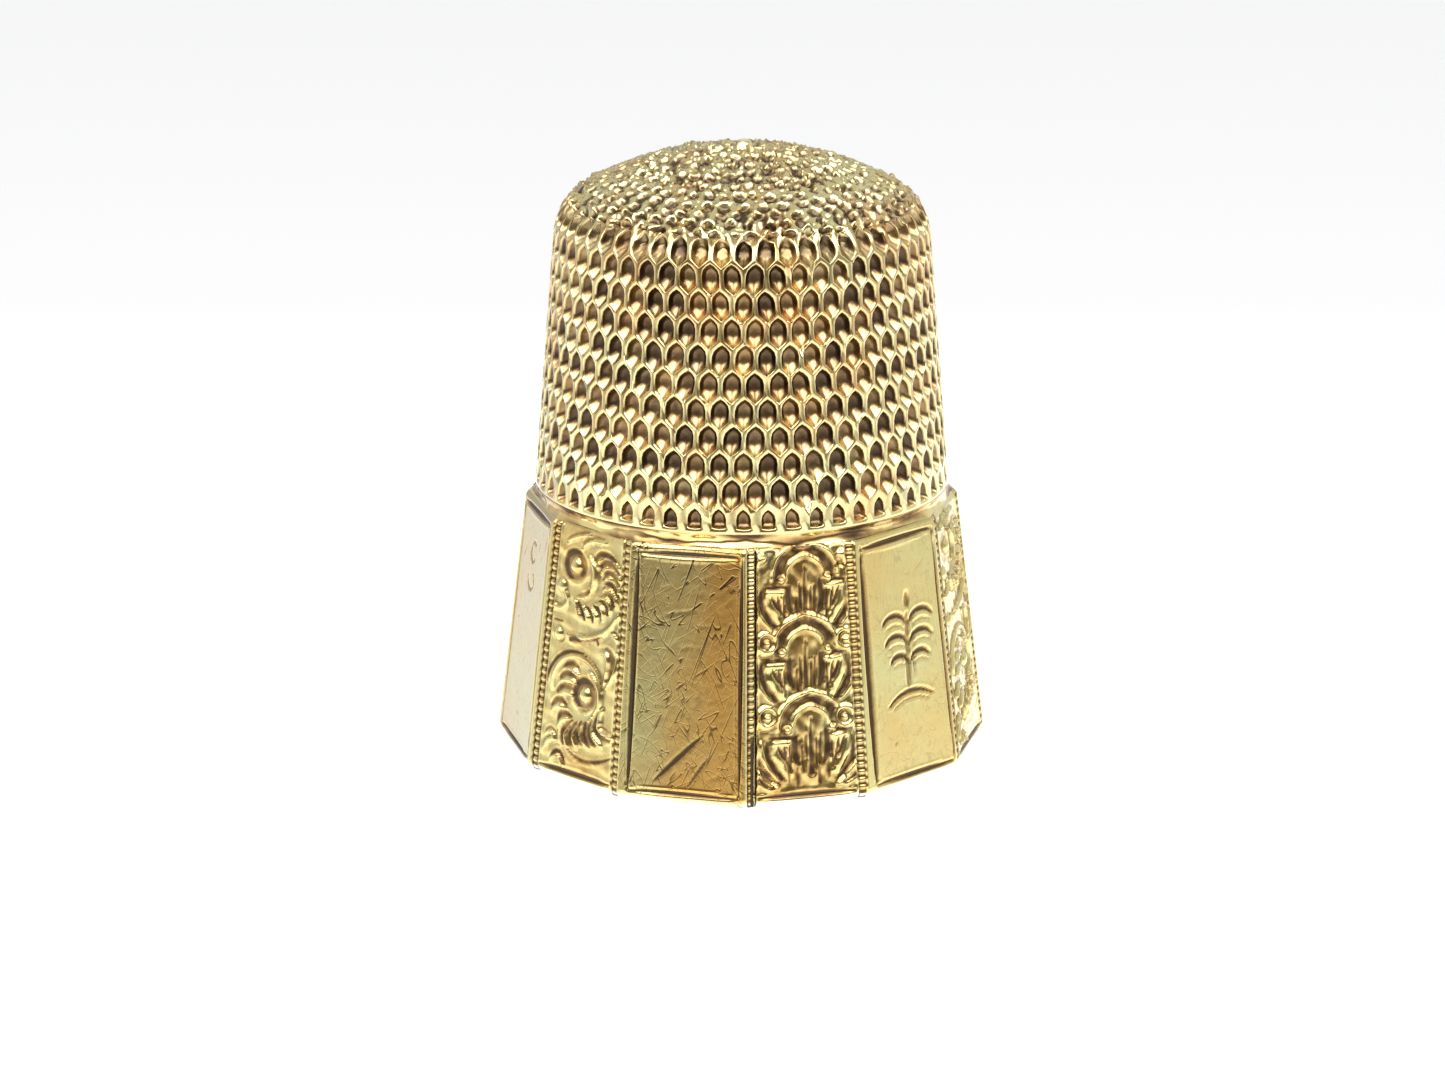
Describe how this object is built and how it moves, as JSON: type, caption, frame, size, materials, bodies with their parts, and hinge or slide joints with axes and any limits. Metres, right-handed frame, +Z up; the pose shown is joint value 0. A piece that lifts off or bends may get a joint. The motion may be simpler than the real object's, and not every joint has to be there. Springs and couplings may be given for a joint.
{
  "type": "thimble",
  "caption": "Tapered gold sewing thimble: a knurled cup with a domed crown and an applied twelve-sided band of plain and ornamented panels, open at the foot.",
  "frame": {"origin": "centre of the foot, on the surface that the thimble stands on", "axes": "+Z up the thimble's axis towards the crown, -Y through the band's corner beside its butt joint, +X to the right of that corner"},
  "size_m": [0.0176, 0.0176, 0.0218],
  "materials": {
    "cup_gold": "14 carat yellow gold, drawn and knurled, worn bright on the lands, brown tarnish in the pits",
    "band_gold": "14 carat yellow gold, chased and engraved, polished with fine scratches, brown tarnish in the cuts",
    "solder_gold": "hard gold solder, smoothed and polished, a shade redder and darker than the sheet"
  },
  "bodies": {
    "root": {"knurled_cup": "cup_gold", "panel_band": "band_gold", "shoulder_solder": "solder_gold", "foot_solder": "solder_gold", "joint_solder": "solder_gold"}
  },
  "joints": []
}
